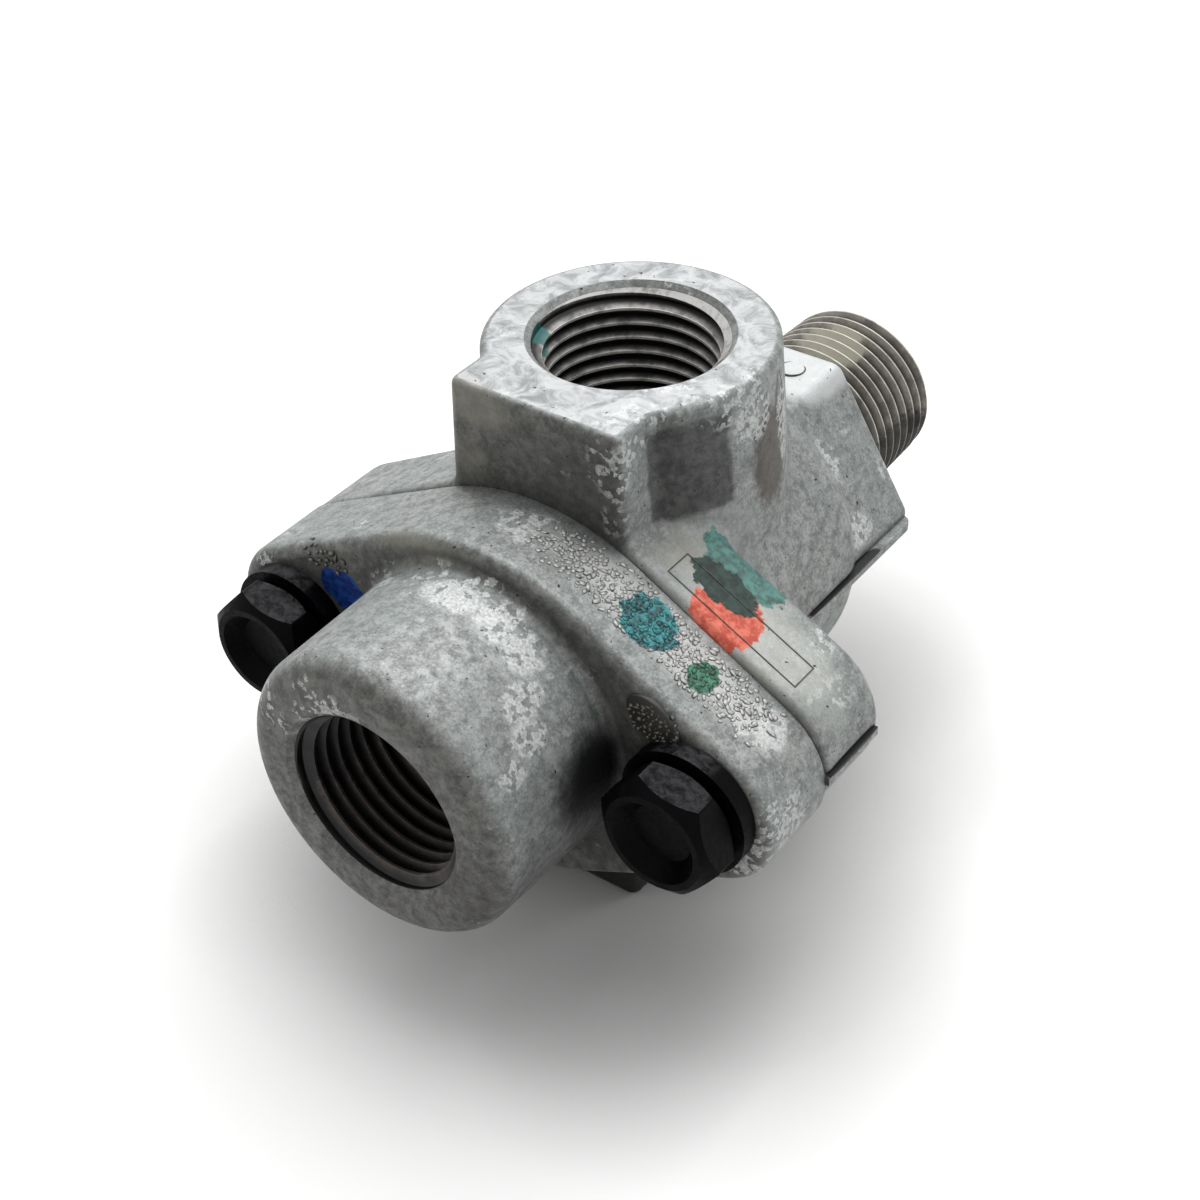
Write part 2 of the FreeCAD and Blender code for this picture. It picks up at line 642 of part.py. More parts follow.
def cage_bar_outline(sketch):
    """Cross-section of one bar: parallel sides between the cage's inner and outer radius."""
    inner = "shuttle_radius + running_clearance"
    outer = "cage_outer_radius"
    half = number("cage_bar_width / 2")
    up = Vector(0, 0, 1)
    arcs = []
    for text in (inner, outer):
        radius = number(text)
        lean = math.asin(half / radius)
        arcs.append(Part.ArcOfCircle(Part.Circle(Vector(0, 0, 0), up, radius),
                                     math.pi / 2 - lean, math.pi / 2 + lean))
    below, above = arcs
    sketch.addGeometry([below, Part.LineSegment(below.EndPoint, above.EndPoint), above,
                        Part.LineSegment(below.StartPoint, above.StartPoint)], False)
    for joint in ((0, 2, 1, 1), (1, 2, 2, 2), (2, 1, 3, 2), (3, 1, 0, 1)):
        sketch.addConstraint(Sketcher.Constraint("Coincident", *joint))
    fix_measure(sketch, "Radius", 0, inner)
    fix_measure(sketch, "Radius", 2, outer)
    fix_point(sketch, 0, 3, "0", "0")
    fix_point(sketch, 2, 3, "0", "0")
    for side, text in ((1, "-cage_bar_width / 2"), (3, "cage_bar_width / 2")):
        sketch.addConstraint(Sketcher.Constraint("Vertical", side))
        place = sketch.addConstraint(Sketcher.Constraint("DistanceX", -1, 1, side, 1, number(text)))
        name = "side_%d" % side
        sketch.renameConstraint(place, name)
        tie(sketch, "Constraints." + name, text)


def make_shuttle_guide():
    """The cage that the shuttle slides in: two end rings joined by bars."""
    body = new_body("shuttle_guide")
    inner = "shuttle_radius + running_clearance"
    front = "-%s" % SEAT_FLOOR
    rear = "%s - cage_clearance" % SEAT_FLOOR
    section = ring_profile(body, "front_ring_section", inner, "cage_outer_radius",
                           front, "cage_ring_width - %s" % SEAT_FLOOR)
    turned(body, "front_ring", section)
    bar = new_sketch(body, "cage_bar_section", "XZ_Plane", "%s - cage_ring_width / 2" % SEAT_FLOOR)
    cage_bar_outline(bar)
    feature = pad(body, "cage_bar", bar,
                  "2 * %s - cage_clearance - cage_ring_width" % SEAT_FLOOR, backwards=True)
    pattern = body.newObject("PartDesign::PolarPattern", "cage_bars")
    pattern.Originals = [feature]
    pattern.Axis = (datum(body, "Y_Axis"), [""])
    pattern.Angle = 360
    tie(pattern, "Occurrences", "cage_bars")
    body.Tip = pattern
    doc.recompute()
    section = ring_profile(body, "rear_ring_section", inner, "cage_outer_radius",
                           "%s - cage_ring_width" % rear, rear)
    turned(body, "rear_ring", section)
    return body


def make_shuttle():
    """The sliding spool: two running bands, a slim waist and a recess in each end."""
    body = new_body("shuttle", along=SHUTTLE_REST)
    section = new_sketch(body, "shuttle_section", "YZ_Plane")
    waist_slope = "(shuttle_radius - shuttle_waist_radius) / 2"
    half = [("disc_thickness - disc_stand - %s" % SHUTTLE_HALF, "0"),
            ("disc_thickness - disc_stand - %s" % SHUTTLE_HALF, "disc_radius + disc_clearance"),
            ("-%s" % SHUTTLE_HALF, "disc_radius + disc_clearance"),
            ("-%s" % SHUTTLE_HALF, "shuttle_radius - shuttle_edge_bevel"),
            ("shuttle_edge_bevel - %s" % SHUTTLE_HALF, "shuttle_radius"),
            ("shuttle_land - %s" % SHUTTLE_HALF, "shuttle_radius"),
            ("shuttle_land + %s - %s" % (waist_slope, SHUTTLE_HALF), "shuttle_waist_radius")]
    other_half = [(opposite(place), radius) for place, radius in reversed(half)]
    closed_profile(section, half + other_half)
    turned(body, "spool", section)
    return body


def make_disc(label, side):
    """A rubber disc in the recess at one end of the shuttle."""
    middle = "%s + disc_stand - disc_thickness / 2" % SHUTTLE_HALF
    body = new_body(label, along="%s %s (%s)" % (SHUTTLE_REST, side, middle))
    cylinder(body, label + "_round", "disc_radius", "-disc_thickness / 2", "disc_thickness / 2")
    return body


def make_screw(label, side, turn):
    """A hexagon cap screw whose head is bevelled at both ends and dished in front."""
    body = new_body(label, across="%s screw_spacing / 2" % side, turn=turn)
    head_rear = "-joint_distance - cover_flange_thickness - washer_thickness"
    head_front = "%s - head_height" % head_rear
    outline = new_sketch(body, label + "_outline", "XZ_Plane", opposite(head_rear))
    hexagon_outline(outline, "head_across_flats", "head_corner_radius")
    pad(body, label + "_head", outline, "head_height")
    reach = "head_across_flats"
    slope = "(%s - head_bevel_start) * tan(head_bevel_angle)" % reach
    for end, place, into in (("front", head_front, "+"), ("rear", head_rear, "-")):
        corner = new_sketch(body, "%s_%s_bevel_section" % (label, end), "YZ_Plane")
        closed_profile(corner, [(place, "head_bevel_start"),
                                (place, reach),
                                ("%s %s %s" % (place, into, slope), reach)])
        turned(body, "%s_%s_bevel" % (label, end), corner, cut=True)
    dish = new_sketch(body, label + "_dish_section", "YZ_Plane")
    closed_profile(dish, [(head_front, "0"),
                          (head_front, "dish_radius"),
                          ("%s + dish_depth" % head_front, "dish_floor_radius"),
                          ("%s + dish_depth" % head_front, "0")])
    turned(body, label + "_dish", dish, cut=True)
    shank_end = "%s + screw_length" % head_rear
    cylinder(body, label + "_shank", "screw_radius", "%s - dish_depth" % head_rear, shank_end)
    bevelled(body, label + "_end_bevel", round_edge_at(number("screw_radius"), number(shank_end)),
             "screw_end_bevel")
    return body


def make_washer(label, side, turn):
    """A split lock washer squeezed flat under the screw's head."""
    body = new_body(label, across="%s screw_spacing / 2" % side, turn=turn)
    rear = "-joint_distance - cover_flange_thickness"
    front = "%s - washer_thickness" % rear
    section = ring_profile(body, label + "_section", "screw_radius + washer_bore_clearance",
                           "washer_outer_radius", front, rear)
    turned(body, label + "_ring", section)
    slit = new_sketch(body, label + "_slit_outline", "YZ_Plane")
    lean = "washer_thickness * tan(washer_slit_slope)"
    closed_profile(slit, [(front, "washer_slit_width / 2 + %s / 2" % lean),
                          (front, "%s / 2 - washer_slit_width / 2" % lean),
                          (rear, "-washer_slit_width / 2 - %s / 2" % lean),
                          (rear, "washer_slit_width / 2 - %s / 2" % lean)])
    before = body.Shape.Volume
    pocket = body.newObject("PartDesign::Pocket", label + "_slit")
    pocket.Profile = slit
    pocket.Reversed = True
    tie(pocket, "Length", "2 * washer_outer_radius")
    doc.recompute()
    if not body.Shape.Volume < before:
        raise ValueError(label + "_slit cuts nothing")
    return body


pieces = [make_body(),
          make_cover(),
          make_seal_ring(),
          make_shuttle_guide(),
          make_shuttle(),
          make_disc("shuttle_seal_front", "-"),
          make_disc("shuttle_seal_rear", "+"),
          make_screw("cap_screw_left", "-", "left_screw_turn"),
          make_screw("cap_screw_right", "+", "right_screw_turn"),
          make_washer("lock_washer_left", "-", "left_washer_turn"),
          make_washer("lock_washer_right", "+", "right_washer_turn")]
doc.recompute()

for thing in doc.Objects:
    if "Invalid" in thing.State or "Error" in thing.State:
        raise ValueError("%s did not recompute: %s" % (thing.Label, thing.State))
for piece in pieces:
    if piece.Shape.isNull() or not piece.Shape.isValid() or len(piece.Shape.Solids) != 1:
        raise ValueError(piece.Label + " is not one valid solid")

os.makedirs("parts", exist_ok=True)
for piece in pieces:
    piece.Shape.exportStep("parts/%s.step" % piece.Label)
    box = piece.Shape.BoundBox
    print("%-20s %9.1f mm3  x %6.2f..%6.2f  y %6.2f..%6.2f  z %6.2f..%6.2f" % (
        piece.Label, piece.Shape.Volume, box.XMin, box.XMax, box.YMin, box.YMax, box.ZMin, box.ZMax))
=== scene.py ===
"""Looks of the double non-return valve: castings, pipe threads, cast relief, paint dabs and screws."""
import math
import random

import bmesh
import bpy
from mathutils import Matrix, Vector
from mathutils.bvhtree import BVHTree


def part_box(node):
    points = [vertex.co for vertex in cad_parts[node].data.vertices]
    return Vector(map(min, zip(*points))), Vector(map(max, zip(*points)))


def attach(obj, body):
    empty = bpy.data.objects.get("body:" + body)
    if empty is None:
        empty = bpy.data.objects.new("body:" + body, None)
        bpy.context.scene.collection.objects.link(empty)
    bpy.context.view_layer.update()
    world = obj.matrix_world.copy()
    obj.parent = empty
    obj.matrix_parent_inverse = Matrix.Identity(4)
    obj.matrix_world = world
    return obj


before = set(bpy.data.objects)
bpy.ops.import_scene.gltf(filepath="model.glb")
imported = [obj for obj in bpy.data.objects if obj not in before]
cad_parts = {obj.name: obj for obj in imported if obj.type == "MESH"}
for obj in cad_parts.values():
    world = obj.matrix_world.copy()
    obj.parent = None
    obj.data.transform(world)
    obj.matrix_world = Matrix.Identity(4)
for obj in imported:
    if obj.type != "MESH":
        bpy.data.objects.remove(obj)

MM = 0.001
FULL_TURN = 2 * math.pi
QUARTER_TURN = math.pi / 2
DOWN = (0, 0, -1)
INTO_COVER = (0, 1, 0)


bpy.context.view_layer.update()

# Places of the valve's axes and faces in millimetres, as the solids have them
AXIS_HEIGHT = 25.3
DELIVERY_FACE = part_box("valve_body")[1].z / MM
NIPPLE_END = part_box("valve_body")[1].y / MM
SUPPLY_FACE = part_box("cover")[0].y / MM
COVER_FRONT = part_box("lock_washer_left")[1].y / MM
HEX_END = 21.5
HEX_TOP = AXIS_HEIGHT + 13.7

# Taper pipe thread with 18 turns an inch, in millimetres
PITCH = 1.411
THREAD_DEPTH = 1.0
TAPER = 1 / 32
ROOT_FLAT = 0.08
THREAD_STEPS = 112

# The ports' threads lie just inside the plain wall that the solids have
PORT_WALL = 8.5
PORT_BACK = PORT_WALL - 0.005
PORT_FADED = PORT_WALL - 0.03
PORT_ROOT = PORT_WALL - 0.05
PORT_CREST = PORT_WALL - THREAD_DEPTH + 0.12
PORT_CREST_FLAT = 0.16
PORT_THREAD_LENGTH = 12.0
PORT_BEVEL = 0.5

# The nipple's thread lies on its plain core and runs out on a neck by the hexagon
NIPPLE_CORE = 7.3
NIPPLE_BACK = NIPPLE_CORE - 0.1
NIPPLE_CREST = 8.33
NIPPLE_ROOT = NIPPLE_CREST - THREAD_DEPTH
NIPPLE_CREST_FLAT = 0.1
NIPPLE_BEVEL = 0.75
NIPPLE_END_GAP = 0.02
NECK_LENGTH = 2.4
NECK_DEPTH = 0.35
NECK_RISE = 0.35

# Settings that several shader nodes share
COLOURS = {"data_type": "RGBA"}
SMOOTH = {"interpolation_type": "SMOOTHSTEP"}
PRODUCT = {"operation": "MULTIPLY"}
PRODUCT_AND_SUM = {"operation": "MULTIPLY_ADD"}
LARGER = {"operation": "MAXIMUM"}


def srgb(code):
    """A hex colour as linear red, green, blue and alpha."""
    def linear(value):
        return value / 12.92 if value <= 0.04045 else ((value + 0.055) / 1.055) ** 2.4
    return tuple(linear(int(code[place:place + 2], 16) / 255) for place in (1, 3, 5)) + (1.0,)


def per_mm(size):
    """The scale of a pattern whose patches are about so many millimetres."""
    return 1 / (size * MM)


def add(tree, kind, out=None, settings=None, **links):
    """Adds one shader node and returns its output of that name or number, or else the node itself.

    A link is a value or another node's socket. In an input's name _ stands for a space, and i with a
    number is the input at that place.
    """
    node = tree.nodes.new("ShaderNode" + kind)
    for name, value in (settings or {}).items():
        setattr(node, name, value)
    for name, value in links.items():
        place = int(name[1:]) if name[0] == "i" and name[1:].isdigit() else name.replace("_", " ")
        if isinstance(value, bpy.types.NodeSocket):
            tree.links.new(value, node.inputs[place])
        else:
            node.inputs[place].default_value = value
    return node if out is None else node.outputs[out]


def new_material(name):
    """An empty node material: itself, its tree of nodes and its object coordinates."""
    material = bpy.data.materials.new(name)
    material.use_nodes = True
    tree = material.node_tree
    tree.nodes.clear()
    return material, tree, add(tree, "TexCoord", "Object")


def surfaced(tree, **sockets):
    """Ends a material with its shader, given what goes into each of the shader's sockets."""
    shader = add(tree, "BsdfPrincipled", "BSDF", None, **sockets)
    add(tree, "OutputMaterial", None, None, Surface=shader)


def shaded(tree, tone, other, pattern, low, high, strength=1.0):
    """A tone that turns to another as a pattern goes from low to high, up to a strength."""
    share = add(tree, "MapRange", "Result", SMOOTH, Value=pattern, From_Min=low, From_Max=high,
                To_Max=strength)
    return add(tree, "Mix", 2, COLOURS, i0=share, i6=tone, i7=other)


def laid_over(tree, tone, other, mask, strength=1.0):
    """A tone with another laid over it where a mask is, at a strength."""
    share = add(tree, "Math", 0, PRODUCT, i0=mask, i1=strength)
    return add(tree, "Mix", 2, COLOURS, i0=share, i6=tone, i7=other)


def daub(tree, place, centre, half_sizes, turn=(0, 0, 0), ragged=0.45, softness=0.1, grain=1.6,
         square=False):
    """Mask of a ragged round or square patch about a point, in millimetres and degrees."""
    local = add(tree, "Mapping", "Vector", {"vector_type": "TEXTURE"}, Vector=place,
                Location=[value * MM for value in centre],
                Rotation=[math.radians(value) for value in turn],
                Scale=[value * MM for value in half_sizes])
    if square:
        away = add(tree, "VectorMath", 0, {"operation": "ABSOLUTE"}, i0=local)
        sides = add(tree, "SeparateXYZ", None, None, Vector=away)
        wider = add(tree, "Math", 0, LARGER, i0=sides.outputs["X"], i1=sides.outputs["Y"])
        reach = add(tree, "Math", 0, LARGER, i0=wider, i1=sides.outputs["Z"])
    else:
        reach = add(tree, "VectorMath", "Value", {"operation": "LENGTH"}, i0=local)
    wander = add(tree, "TexNoise", "Fac", None, Vector=place, Scale=per_mm(grain), Detail=4.0,
                 Roughness=0.6)
    edge = add(tree, "Math", 0, PRODUCT_AND_SUM, i0=wander, i1=ragged * 2, i2=reach)
    middle = 1.0 + ragged
    return add(tree, "MapRange", "Result", SMOOTH, Value=edge, From_Min=middle - softness / 2,
               From_Max=middle + softness / 2, To_Min=1.0, To_Max=0.0)


def flakes(tree, place, size, share):
    """Mask of crisp many-sided flakes: a share of the cells of a ragged mosaic."""
    blur = 0.02
    wander = add(tree, "TexNoise", "Color", None, Vector=place, Scale=per_mm(size * 0.5), Detail=3.0)
    moved = add(tree, "VectorMath", 0, PRODUCT_AND_SUM, i0=wander, i1=(size * MM,) * 3, i2=place)
    cells = add(tree, "TexVoronoi", "Color", {"feature": "F1"}, Vector=moved, Scale=per_mm(size))
    pick = add(tree, "SeparateColor", 0, None, Color=cells)
    return add(tree, "MapRange", "Result", SMOOTH, Value=pick, From_Min=1 - share - blur,
               From_Max=1 - share + blur)


def painted(tree, place, tone, paints):
    """A tone under dabs of marking paint, brushed thick and thin, and the mask of where they lie."""
    covered = 0.0
    brushed = add(tree, "TexNoise", "Fac", None, Vector=place, Scale=per_mm(0.8), Detail=4.0,
                  Roughness=0.65)
    for dark, bright, centre, half_sizes, turn, strength in paints:
        dab = daub(tree, place, centre, half_sizes, turn, softness=0.08, grain=1.0)
        mask = add(tree, "Math", 0, PRODUCT, i0=dab, i1=strength)
        paint = shaded(tree, srgb(dark), srgb(bright), brushed, 0.38, 0.62)
        tone = laid_over(tree, tone, paint, mask)
        covered = add(tree, "Math", 0, LARGER, i0=covered, i1=mask)
    return tone, covered


# Pattern sizes of the castings' skin in millimetres. The real grain is about 0.05 and the real pits
# are about 0.2: both are drawn coarser, so that they show
CLOUD = 9.0
MOTTLE = 1.1
SAND = 0.26
PIT = 0.6
MILLED_STREAK = 2.2
SKIN_RELIEF = 0.14
HOLLOW_REACH = 3.0


def die_cast(name, stains_and_shade, panels, rubs, paints, ledge_shade):
    """Die-cast aluminium, tumbled and much handled.

    It gives the eye a dull grey skin, clouded, mottled and gritty, with painted shade: oily brown on the
    front faces, black in the hollows and dark in some of the given patches. It is bright on the milled
    port face and wherever the skin is rubbed off in flakes.
    """
    material, tree, place = new_material(name)
    clouds = add(tree, "TexNoise", "Fac", None, Vector=place, Scale=per_mm(CLOUD), Detail=3.0,
                 Roughness=0.55)
    mottle = add(tree, "TexNoise", "Fac", None, Vector=place, Scale=per_mm(MOTTLE), Detail=8.0,
                 Roughness=0.74, Distortion=0.25)
    sand = add(tree, "TexNoise", "Fac", None, Vector=place, Scale=per_mm(SAND), Detail=3.0,
               Roughness=0.65)

    # Bare skin: mottle, bluish clouds, dark grit and pale grit
    tone = shaded(tree, srgb("#767977"), srgb("#b4b7b5"), mottle, 0.3, 0.7)
    tone = shaded(tree, tone, srgb("#8c9795"), clouds, 0.38, 0.68, 0.45)
    tone = shaded(tree, tone, srgb("#5a5c5a"), sand, 0.55, 0.68, 0.55)
    tone = shaded(tree, tone, srgb("#d0d3d2"), sand, 0.45, 0.32, 0.45)

    # Painted shade, in an oily brown tone, on what faces the front
    facing = add(tree, "SeparateXYZ", None, None, Vector=add(tree, "TexCoord", "Normal"))
    front_shade_tone = shaded(tree, srgb("#393632"), srgb("#6c6861"), mottle, 0.35, 0.7)
    tone = shaded(tree, tone, front_shade_tone, facing.outputs["Y"], -0.25, -0.9, 0.72)

    # The milled face round the delivery port
    height = add(tree, "SeparateXYZ", "Z", None, Vector=place)
    level = add(tree, "MapRange", "Result", SMOOTH, Value=facing.outputs["Z"], From_Min=0.96,
                From_Max=0.99)
    top = add(tree, "MapRange", "Result", SMOOTH, Value=height, From_Min=(DELIVERY_FACE - 0.4) * MM,
              From_Max=(DELIVERY_FACE - 0.1) * MM)
    streaks = add(tree, "TexNoise", "Fac", None, Vector=place, Scale=per_mm(MILLED_STREAK), Detail=6.0,
                  Roughness=0.7, Distortion=0.8)
    milled = shaded(tree, srgb("#929596"), srgb("#cbcdce"), streaks, 0.34, 0.6)
    tone = laid_over(tree, tone, milled, level, top)

    # Stains and painted shade in patches, square panels, and painted black shade in the hollows
    for colour, centre, half_sizes, strength, softness in stains_and_shade:
        mask = daub(tree, place, centre, half_sizes, ragged=0.4, softness=softness, grain=2.2)
        tone = laid_over(tree, tone, srgb(colour), mask, strength)
    for dark, bright, centre, half_sizes, strength in panels:
        mask = daub(tree, place, centre, half_sizes, ragged=0.16, softness=0.2, grain=1.2, square=True)
        panel = shaded(tree, srgb(dark), srgb(bright), mottle, 0.35, 0.7)
        tone = laid_over(tree, tone, panel, mask, strength)
    # Painted shade: black where the AO finds nearby surfaces
    hollow_shade_ao = add(tree, "AmbientOcclusion", "AO", {"samples": 2}, Distance=HOLLOW_REACH * MM)
    tone = shaded(tree, tone, srgb("#1d1c1a"), hollow_shade_ao, 0.92, 0.15, 0.88)

    # Flakes rubbed bare: thin ones in some of the clouds, dense ones at the places given
    patchy_share = add(tree, "MapRange", "Result", SMOOTH, Value=clouds, From_Min=0.58, From_Max=0.66)
    rubbed = add(tree, "Math", 0, PRODUCT, i0=patchy_share, i1=flakes(tree, place, 0.5, 0.3))
    for centre, half_sizes, size in rubs:
        zone = daub(tree, place, centre, half_sizes, ragged=0.6, softness=0.4, grain=1.1)
        spot = add(tree, "Math", 0, PRODUCT, i0=zone, i1=flakes(tree, place, size, 0.62))
        rubbed = add(tree, "Math", 0, LARGER, i0=rubbed, i1=spot)
    shine = add(tree, "MapRange", "Result", SMOOTH, Value=sand, From_Min=0.35, From_Max=0.6,
                To_Min=0.95, To_Max=0.45)
    tone = laid_over(tree, tone, srgb("#e2e4e3"), rubbed, shine)

    # Pits, paint and the painted black shade in the parting ledge
    pits = add(tree, "TexNoise", "Fac", None, Vector=place, Scale=per_mm(PIT), Detail=2.0)
    tone = shaded(tree, tone, srgb("#2e2f2d"), pits, 0.715, 0.74)
    tone, covered = painted(tree, place, tone, paints)
    for centre, half_sizes in ledge_shade:
        mask = daub(tree, place, centre, half_sizes, ragged=0.1, softness=0.12, grain=0.9)
        tone = laid_over(tree, tone, srgb("#050505"), mask)

    # Pale skin is smoother than dark skin, and paint is smoother than both
    bare_rough = add(tree, "MapRange", "Result", SMOOTH, Value=mottle, From_Min=0.3, From_Max=0.7,
                     To_Min=0.6, To_Max=0.42)
    rough = add(tree, "MapRange", "Result", SMOOTH, Value=covered, To_Min=bare_rough, To_Max=0.33)
    relief = add(tree, "Math", 0, PRODUCT_AND_SUM, i0=sand, i1=0.3, i2=mottle)
    bump = add(tree, "Bump", "Normal", None, Strength=0.5, Distance=SKIN_RELIEF * MM, Height=relief)
    surfaced(tree, Base_Color=tone, Metallic=0.3, Roughness=rough, Normal=bump)
    return material


def machined(name, light, dark, root, edge, marks_and_shade):
    """Threads cut in the same aluminium and then handled with oily hands.

    They give the eye smeared flanks, with crests painted thin and bright as a highlight and roots
    painted dark as shade. The cutter's own lines are about 0.03 mm apart and are drawn at 0.25 mm, so
    that they show.
    """
    material, tree, place = new_material(name)
    rise = add(tree, "Attribute", "Fac", {"attribute_name": "rise"})
    smear = add(tree, "TexNoise", "Fac", None, Vector=place, Scale=per_mm(1.6), Detail=6.0,
                Roughness=0.68)
    tone = shaded(tree, srgb(dark), srgb(light), smear, 0.32, 0.66)
    # Painted shade: the roots turn to the root colour
    tone = shaded(tree, tone, srgb(root), rise, 0.9, 0.25)
    # Painted highlight: the crests turn to the edge colour, more in some patches than others
    crest = add(tree, "MapRange", "Result", SMOOTH, Value=rise, From_Min=0.93, From_Max=0.99)
    patchy_share = add(tree, "MapRange", "Result", SMOOTH, Value=smear, From_Min=0.3, From_Max=0.55,
               To_Min=0.35, To_Max=1.0)
    tone = laid_over(tree, tone, srgb(edge), crest, patchy_share)
    for colour, centre, half_sizes, strength in marks_and_shade:
        mask = daub(tree, place, centre, half_sizes, ragged=0.35, softness=0.3, grain=0.8)
        tone = laid_over(tree, tone, srgb(colour), mask, strength)
    rough = add(tree, "MapRange", "Result", SMOOTH, Value=smear, From_Min=0.3, From_Max=0.7,
                To_Min=0.5, To_Max=0.34)
    lines = add(tree, "TexNoise", "Fac", None, Vector=place, Scale=per_mm(0.25), Detail=3.0)
    bump = add(tree, "Bump", "Normal", None, Strength=0.2, Distance=0.05 * MM, Height=lines)
    surfaced(tree, Base_Color=tone, Metallic=0.35, Roughness=rough, Normal=bump)
    return material


def phosphated(name):
    """Black phosphated and oiled steel of the screws and washers.

    It gives the eye a near black that hardly shines, with the flats on top painted grey in patches as a
    reflection of the light above.
    """
    material, tree, place = new_material(name)
    blotch = add(tree, "TexNoise", "Fac", None, Vector=place, Scale=per_mm(0.9), Detail=6.0,
                 Roughness=0.72, Distortion=0.5)
    # Painted reflection: flats that face up turn grey, in patches
    upward = add(tree, "SeparateXYZ", "Z", None, Vector=add(tree, "TexCoord", "Normal"))
    top = add(tree, "MapRange", "Result", SMOOTH, Value=upward, From_Min=0.86, From_Max=0.95)
    patchy = add(tree, "MapRange", "Result", SMOOTH, Value=blotch, From_Min=0.36, From_Max=0.66)
    tone = shaded(tree, srgb("#050406"), srgb("#121113"), blotch, 0.5, 0.75)
    tone = laid_over(tree, tone, srgb("#454447"), top, patchy)
    rough = add(tree, "MapRange", "Result", SMOOTH, Value=blotch, From_Min=0.4, From_Max=0.7,
                To_Min=0.38, To_Max=0.6)
    dents = add(tree, "TexNoise", "Fac", None, Vector=place, Scale=per_mm(0.6), Detail=4.0,
                Roughness=0.6)
    bump = add(tree, "Bump", "Normal", None, Strength=0.6, Distance=0.12 * MM, Height=dents)
    surfaced(tree, Base_Color=tone, Roughness=rough, Normal=bump, Specular_IOR_Level=0.05)
    return material


def cast_grain(name, low, high, paints):
    """Gritty relief that the mould left on the castings.

    It gives the eye pale rubbed tops, with black painted shade in the hollows between them.
    """
    material, tree, place = new_material(name)
    rise = add(tree, "Attribute", "Fac", {"attribute_name": "rise"})
    speck = add(tree, "TexNoise", "Fac", None, Vector=place, Scale=per_mm(0.5), Detail=3.0,
                Roughness=0.6)
    tone = shaded(tree, srgb(high), srgb(low), speck, 0.35, 0.65, 0.45)
    tone = painted(tree, place, tone, paints)[0]
    # Painted shade: black at the foot of each crumb, where its rise is low
    tone = shaded(tree, tone, srgb("#2c2b28"), rise, 0.7, 0.25)
    bump = add(tree, "Bump", "Normal", None, Strength=0.3, Distance=0.04 * MM, Height=speck)
    surfaced(tree, Base_Color=tone, Metallic=0.3, Roughness=0.45, Normal=bump)
    return material


def even_finish(name, low, high, size, roughness, metallic, relief):
    """A finish of one tone that varies a little over patches of a size, with a relief, in millimetres.

    The grain of the relief is drawn at a sixth of the patches, coarser than it is, so that it shows.
    """
    material, tree, place = new_material(name)
    patches = add(tree, "TexNoise", "Fac", None, Vector=place, Scale=per_mm(size), Detail=3.0)
    fine = add(tree, "TexNoise", "Fac", None, Vector=place, Scale=per_mm(size / 6), Detail=2.0)
    tone = shaded(tree, srgb(low), srgb(high), patches, 0.35, 0.65)
    bump = add(tree, "Bump", "Normal", None, Strength=0.3, Distance=relief * MM, Height=fine)
    surfaced(tree, Base_Color=tone, Metallic=metallic, Roughness=roughness, Normal=bump)
    return material


def wear(piece, material):
    """Gives a piece its only material."""
    piece.data.materials.clear()
    piece.data.materials.append(material)


def finished(bm, name, material, crease=35):
    """Turns a bmesh into a piece of the castings, smooth up to an angle in degrees."""
    bmesh.ops.recalc_face_normals(bm, faces=bm.faces)
    mesh = bpy.data.meshes.new(name)
    bm.to_mesh(mesh)
    bm.free()
    mesh.shade_smooth()
    mesh.set_sharp_from_angle(angle=math.radians(crease))
    piece = bpy.data.objects.new(name, mesh)
    bpy.context.scene.collection.objects.link(piece)
    mesh.materials.append(material)
    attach(piece, "housing")


# Pipe threads
def thread_profile(crest, root, start, finish, crest_flat):
    """Radius and place along one turn after another: root, slope, crest and slope."""
    spare_turns = 3
    turns = int((finish - start) / PITCH) + spare_turns
    points = []
    for turn in range(turns):
        base = start - PITCH + turn * PITCH
        for share, radius in ((0, root), (ROOT_FLAT, root), (0.5 - crest_flat / 2, crest),
                              (0.5 + crest_flat / 2, crest)):
            points.append((radius, base + share * PITCH))
    return points


